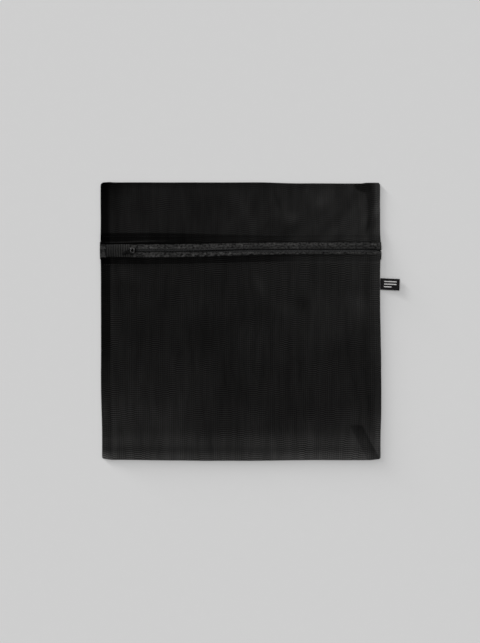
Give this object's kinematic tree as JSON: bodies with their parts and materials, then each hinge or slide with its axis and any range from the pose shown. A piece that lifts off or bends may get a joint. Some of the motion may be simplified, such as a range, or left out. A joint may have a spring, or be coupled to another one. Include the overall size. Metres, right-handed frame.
{
  "type": "mesh laundry bag",
  "caption": "Flat square mesh laundry bag with a coil zip across its upper front, an elastic band covering the zip's end and a folded side label.",
  "frame": {"origin": "centre of the back sheet's outer face, which lies on the surface the bag rests on", "axes": "+X towards the side label, +Y towards the zip and the top fold, +Z out of the bag's front"},
  "size_m": [0.4294, 0.4, 0.0105],
  "materials": {
    "mesh": "matte",
    "tape": "matte",
    "coil": "satin",
    "thread": "satin",
    "elastic": "matte",
    "slider_metal": "satin",
    "pull_metal": "satin",
    "label_satin": "satin",
    "label_white": "matte"
  },
  "bodies": {
    "bag": {"back_panel": "mesh", "front_panel": "mesh", "upper_panel_ends": "mesh", "left_seam_allowance": "mesh", "right_seam_allowance": "mesh", "corner_seam_tail": "mesh", "left_seam_thread": "thread", "right_seam_thread": "thread", "lower_hem": "mesh", "upper_hem_ends": "mesh", "lower_hem_thread": "thread", "upper_hem_thread_ends": "thread", "lower_tape": "tape", "upper_tape_ends": "tape", "lower_coil": "coil", "upper_coil_ends": "coil", "elastic_garage": "elastic", "garage_bartacks": "thread"},
    "flap": {"flap_panel": "mesh", "upper_hem": "mesh", "upper_hem_thread": "thread", "upper_tape": "tape", "upper_coil": "coil"},
    "slider": {"slider_body": "slider_metal"},
    "pull": {"pull_tab": "pull_metal"},
    "label": {"label_fold": "label_satin", "label_mark": "label_white"}
  },
  "joints": [
    {"name": "slider_travel", "type": "slide", "parent": "bag", "child": "slider", "axis": [1, 0, 0], "range_m": [0, 0.33], "deforming": ["lower_coil", "upper_coil", "upper_coil_ends"]},
    {"name": "pull_flip", "type": "hinge", "parent": "slider", "child": "pull", "pos_m": [-0.1554, 0.1018, 0.0092], "axis": [-0.342, 0.9397, 0], "range_deg": [0, 172]},
    {"name": "mouth_open", "type": "hinge", "parent": "bag", "child": "flap", "pos_m": [0, 0.1985, 0.0015], "axis": [-1, 0, 0], "range_deg": [0, 35]},
    {"name": "label_flex", "type": "hinge", "parent": "bag", "child": "label", "pos_m": [0.2007, 0.0535, 0.0012], "axis": [0, -1, 0], "range_deg": [0, 90]}
  ]
}
